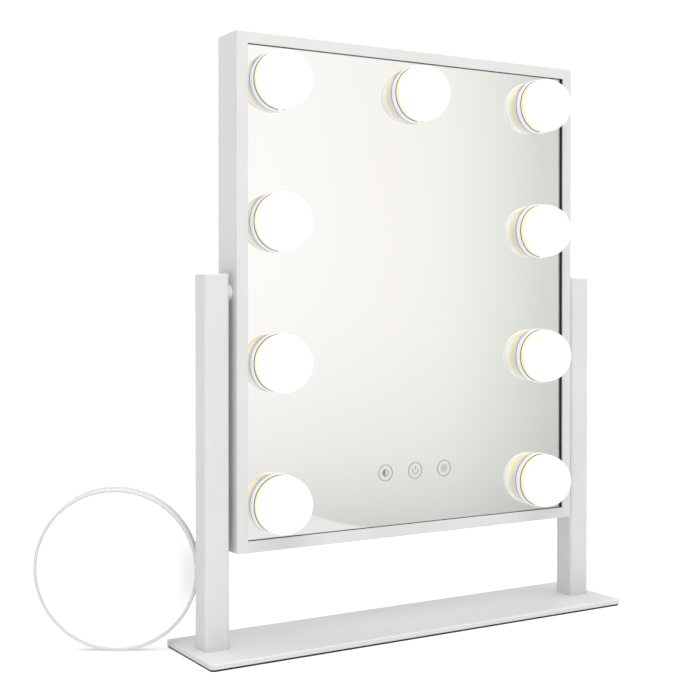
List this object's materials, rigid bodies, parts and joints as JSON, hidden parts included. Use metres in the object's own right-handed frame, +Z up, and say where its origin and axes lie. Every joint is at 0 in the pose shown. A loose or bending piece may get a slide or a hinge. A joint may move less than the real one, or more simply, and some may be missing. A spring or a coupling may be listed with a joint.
{
  "type": "lighted vanity mirror",
  "caption": "Upright table mirror with a slim frame, globe lamps round the glass and touch keys, tilting between two square posts on a flat base, with a loose round magnifying mirror.",
  "frame": {"origin": "on the table under the middle of the base pad, in the vertical plane of the tilt axis", "axes": "+Z up, +X to the right seen from the front, -Y the way the mirror faces"},
  "size_m": [0.4861, 0.1279, 0.4684],
  "materials": {
    "stand_enamel": "satin white powder coat on steel",
    "frame_enamel": "satin white powder coat on aluminium",
    "silvered_glass": "polished silvered glass",
    "black_rubber": "matte black rubber",
    "zinc_steel": "zinc plated steel",
    "white_abs": "fine textured white moulding",
    "collar_plastic": "glossy white moulding",
    "opal_globe": "opal diffuser, lit",
    "led_board_white": "white solder mask with chip LEDs",
    "circuit_board": "green solder mask",
    "nylon": "natural nylon",
    "grey_print": "fine grey screen print",
    "black_plastic": "black moulding",
    "brass_contact": "plated contact pin",
    "wire_sleeve": "white wire insulation",
    "spot_rim_plastic": "glossy light grey moulding",
    "clear_soft_plastic": "clear soft plastic"
  },
  "bodies": {
    "stand": {"base_plate": "stand_enamel", "base_pad": "black_rubber", "left_post": "stand_enamel", "right_post": "stand_enamel", "left_post_cap": "stand_enamel", "right_post_cap": "stand_enamel", "post_feet": "zinc_steel", "base_screws": "zinc_steel", "left_pivot_bolt": "zinc_steel", "right_pivot_bolt": "zinc_steel", "pivot_nuts": "zinc_steel"},
    "mirror_head": {"frame_shell": "frame_enamel", "glass_gasket": "black_rubber", "mirror_glass": "silvered_glass", "backing_tray": "white_abs", "rear_cover": "white_abs", "rear_cover_screws": "zinc_steel", "left_pivot_bush": "nylon", "right_pivot_bush": "nylon", "pivot_brackets": "zinc_steel", "friction_washers": "zinc_steel", "touch_icons": "grey_print", "touch_board": "circuit_board", "driver_board": "circuit_board", "dc_inlet": "black_plastic", "dc_pin": "brass_contact", "dc_nut": "zinc_steel", "wiring_loom": "wire_sleeve", "bulb_nuts": "zinc_steel", "bulb_globe_1": "opal_globe", "bulb_globe_2": "opal_globe", "bulb_globe_3": "opal_globe", "bulb_globe_4": "opal_globe", "bulb_globe_5": "opal_globe", "bulb_globe_6": "opal_globe", "bulb_globe_7": "opal_globe", "bulb_globe_8": "opal_globe", "bulb_globe_9": "opal_globe", "bulb_collar_1": "collar_plastic", "bulb_collar_2": "collar_plastic", "bulb_collar_3": "collar_plastic", "bulb_collar_4": "collar_plastic", "bulb_collar_5": "collar_plastic", "bulb_collar_6": "collar_plastic", "bulb_collar_7": "collar_plastic", "bulb_collar_8": "collar_plastic", "bulb_collar_9": "collar_plastic", "led_board_1": "led_board_white", "led_board_2": "led_board_white", "led_board_3": "led_board_white", "led_board_4": "led_board_white", "led_board_5": "led_board_white", "led_board_6": "led_board_white", "led_board_7": "led_board_white", "led_board_8": "led_board_white", "led_board_9": "led_board_white"},
    "magnifying_mirror": {"spot_rim": "spot_rim_plastic", "spot_glass": "silvered_glass", "spot_back": "white_abs", "suction_cups": "clear_soft_plastic"}
  },
  "joints": [
    {"name": "head_tilt", "type": "hinge", "parent": "stand", "child": "mirror_head", "pos_m": [0, 0, 0.2724], "axis": [1, 0, 0], "continuous": true},
    {"name": "magnifying_mirror_lift", "type": "slide", "parent": "stand", "child": "magnifying_mirror", "axis": [0, 0, 1], "range_m": [0, 0.12]}
  ]
}
